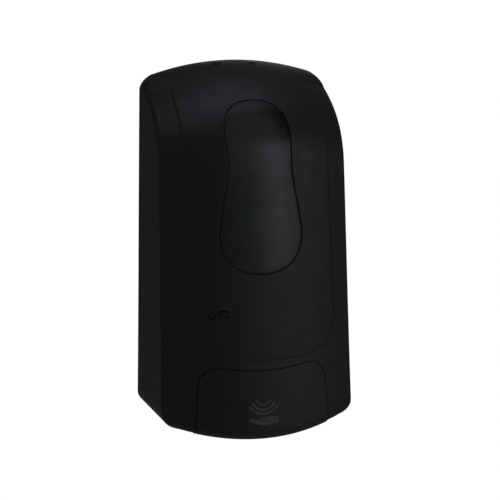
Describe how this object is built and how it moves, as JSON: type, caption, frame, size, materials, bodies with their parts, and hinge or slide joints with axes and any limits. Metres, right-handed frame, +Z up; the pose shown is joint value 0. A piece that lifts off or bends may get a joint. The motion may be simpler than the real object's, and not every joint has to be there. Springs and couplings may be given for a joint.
{
  "type": "wall mounted soap dispenser",
  "caption": "Touch-free wall soap dispenser: a hinged crowned cover with a pear-shaped level window and a sensor panel, over a refill bottle, pump and gear drive.",
  "frame": {"origin": "on the wall face of the back plate, midway across and midway up the cover", "axes": "+X to the right seen from the front, +Y into the wall, +Z up"},
  "size_m": [0.157, 0.0981, 0.29],
  "materials": {
    "cover_black": "fine satin moulded ABS",
    "panel_black": "fine satin moulded ABS",
    "smoked_clear": "smoked translucent, polished",
    "chassis_grey": "textured moulded ABS",
    "dark_grey": "textured moulded ABS",
    "steel": "plain zinc-plated",
    "spring_steel": "bright drawn wire",
    "brass": "stamped",
    "nylon": "natural moulded nylon",
    "bottle_plastic": "milky translucent polyethylene",
    "pump_white": "moulded polypropylene",
    "silicone": "soft satin",
    "cell_wrap": "shrink sleeve",
    "circuit_board": "solder-masked laminate",
    "clear_plastic": "clear moulded"
  },
  "bodies": {
    "wall_unit": {"back_plate": "chassis_grey", "latch_guide": "dark_grey", "latch_spring": "spring_steel", "battery_box": "chassis_grey", "battery_door": "dark_grey", "contact_strip_top": "brass", "contact_strip_bottom": "brass", "refill_bottle": "bottle_plastic", "bottle_collar": "pump_white", "pump_barrel": "pump_white", "drive_housing": "dark_grey", "refill_shelf": "chassis_grey", "light_tower": "dark_grey", "drop_light": "clear_plastic", "battery_light": "clear_plastic", "gear_motor": "steel", "gear_plate": "steel", "gear_pin": "steel", "guide_rod_left": "steel", "guide_rod_right": "steel", "main_board": "circuit_board", "board_capacitor": "dark_grey", "board_connector": "nylon", "reed_switch": "clear_plastic", "sensor_board": "circuit_board", "ir_emitter": "clear_plastic", "ir_receiver": "dark_grey", "sensor_window": "smoked_clear", "switch_body": "dark_grey", "wall_screw_1": "steel", "shelf_screw_1": "steel", "battery_cell_1": "cell_wrap", "wall_screw_2": "steel", "shelf_screw_2": "steel", "battery_cell_2": "cell_wrap", "wall_screw_3": "steel", "shelf_screw_3": "steel", "battery_cell_3": "cell_wrap", "wall_screw_4": "steel", "shelf_screw_4": "steel", "battery_cell_4": "cell_wrap"},
    "cover": {"front_cover": "cover_black", "window_lens": "smoked_clear", "sensor_panel": "panel_black", "drop_light_lens": "clear_plastic", "battery_light_lens": "clear_plastic", "hinge_pin_left": "steel", "hinge_pin_right": "steel", "cover_magnet": "steel"},
    "latch": {"latch_slider": "nylon"},
    "pump_carriage": {"pump_yoke": "nylon", "pump_plunger": "pump_white", "nozzle_tip": "silicone"},
    "output_gear": {"output_gear": "nylon"},
    "motor_pinion": {"motor_pinion": "brass"},
    "power_switch": {"power_switch_knob": "nylon"}
  },
  "joints": [
    {"name": "cover_hinge", "type": "hinge", "parent": "wall_unit", "child": "cover", "pos_m": [0, -0.039, -0.112], "axis": [1, 0, 0], "range_deg": [0, 90]},
    {"name": "latch_slide", "type": "slide", "parent": "wall_unit", "child": "latch", "axis": [0, 0, -1], "range_m": [0, 0.005], "stiffness_N_per_m": 400, "springref_m": -0.003, "deforming": ["latch_spring"]},
    {"name": "pump_lift", "type": "slide", "parent": "wall_unit", "child": "pump_carriage", "axis": [0, 0, 1], "range_m": [0, 0.01]},
    {"name": "output_gear_spin", "type": "hinge", "parent": "wall_unit", "child": "output_gear", "pos_m": [-0.0324, -0.04, -0.104], "axis": [0, 1, 0], "range_deg": [-85, 5]},
    {"name": "motor_pinion_spin", "type": "hinge", "parent": "wall_unit", "child": "motor_pinion", "pos_m": [-0.0432, -0.044, -0.08529], "axis": [0, 1, 0], "range_deg": [-10, 215]},
    {"name": "power_switch_slide", "type": "slide", "parent": "wall_unit", "child": "power_switch", "axis": [1, 0, 0], "range_m": [0, 0.005]}
  ],
  "couplings": [
    {"joint": "output_gear_spin", "follows": "pump_lift", "rad_per_m": -138.89},
    {"joint": "motor_pinion_spin", "follows": "pump_lift", "rad_per_m": 361.11}
  ]
}
